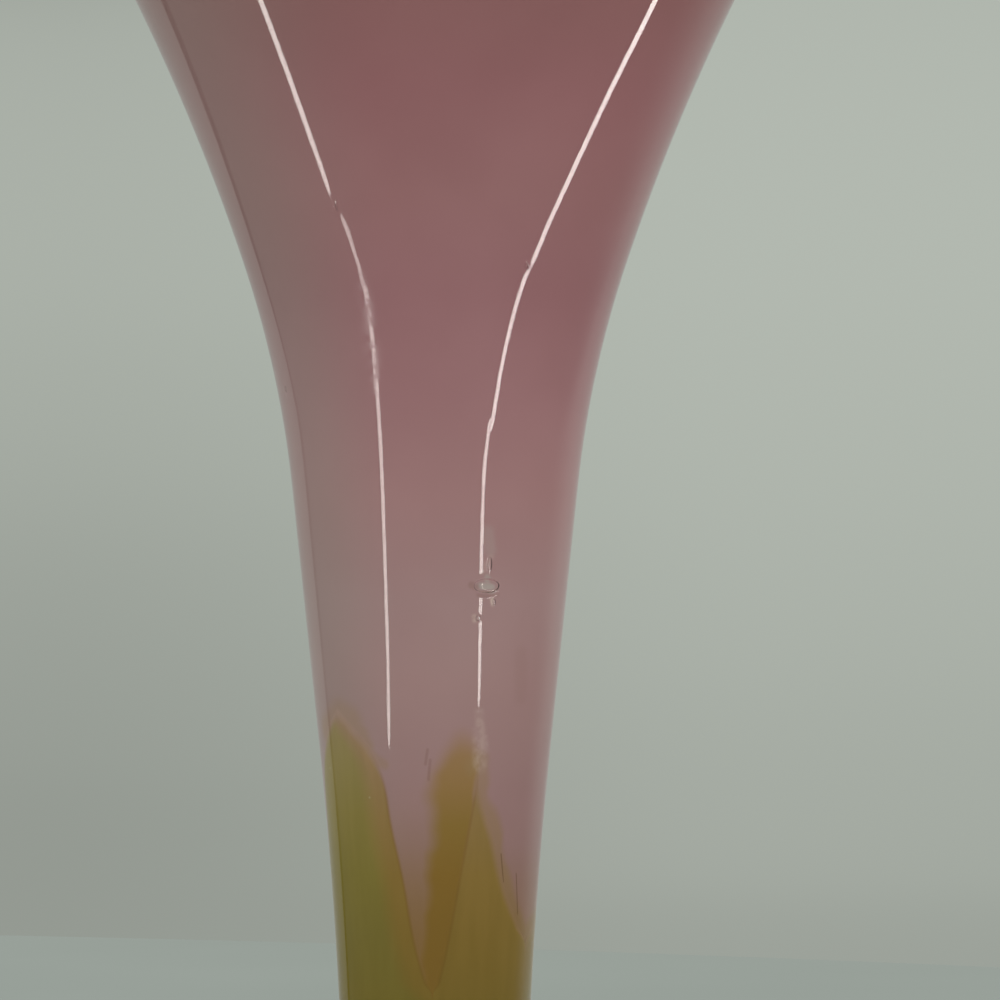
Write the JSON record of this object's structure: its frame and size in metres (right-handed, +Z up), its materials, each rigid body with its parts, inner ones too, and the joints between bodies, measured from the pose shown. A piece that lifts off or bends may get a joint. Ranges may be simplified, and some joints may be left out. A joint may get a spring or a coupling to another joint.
{
  "type": "trumpet vase",
  "caption": "Free-standing blown glass trumpet vase: rose lining, pulled green leaves and clear casing on a green stem, with a clear collar and an applied foot.",
  "frame": {"origin": "centre of the foot's rest ring, on the surface that the vase stands on", "axes": "+Z up along the vase's axis; the front that the picture shows faces -Y"},
  "size_m": [0.1408, 0.1408, 0.3041],
  "materials": {
    "clear_casing": "clear, fire-polished gloss",
    "rose_glass": "translucent dusty rose, glossy inside",
    "leaf_glass": "olive to amber green, streaked",
    "stem_glass": "deep olive green",
    "collar_glass": "clear",
    "foot_glass": "pale olive, transparent, ground pontil"
  },
  "bodies": {
    "root": {"clear_casing": "clear_casing", "rose_lining": "rose_glass", "leaf_front_left": "leaf_glass", "leaf_front_right": "leaf_glass", "leaf_side_right": "leaf_glass", "leaf_back": "leaf_glass", "leaf_side_left": "leaf_glass", "green_stem": "stem_glass", "stem_merese": "collar_glass", "foot": "foot_glass"}
  },
  "joints": []
}
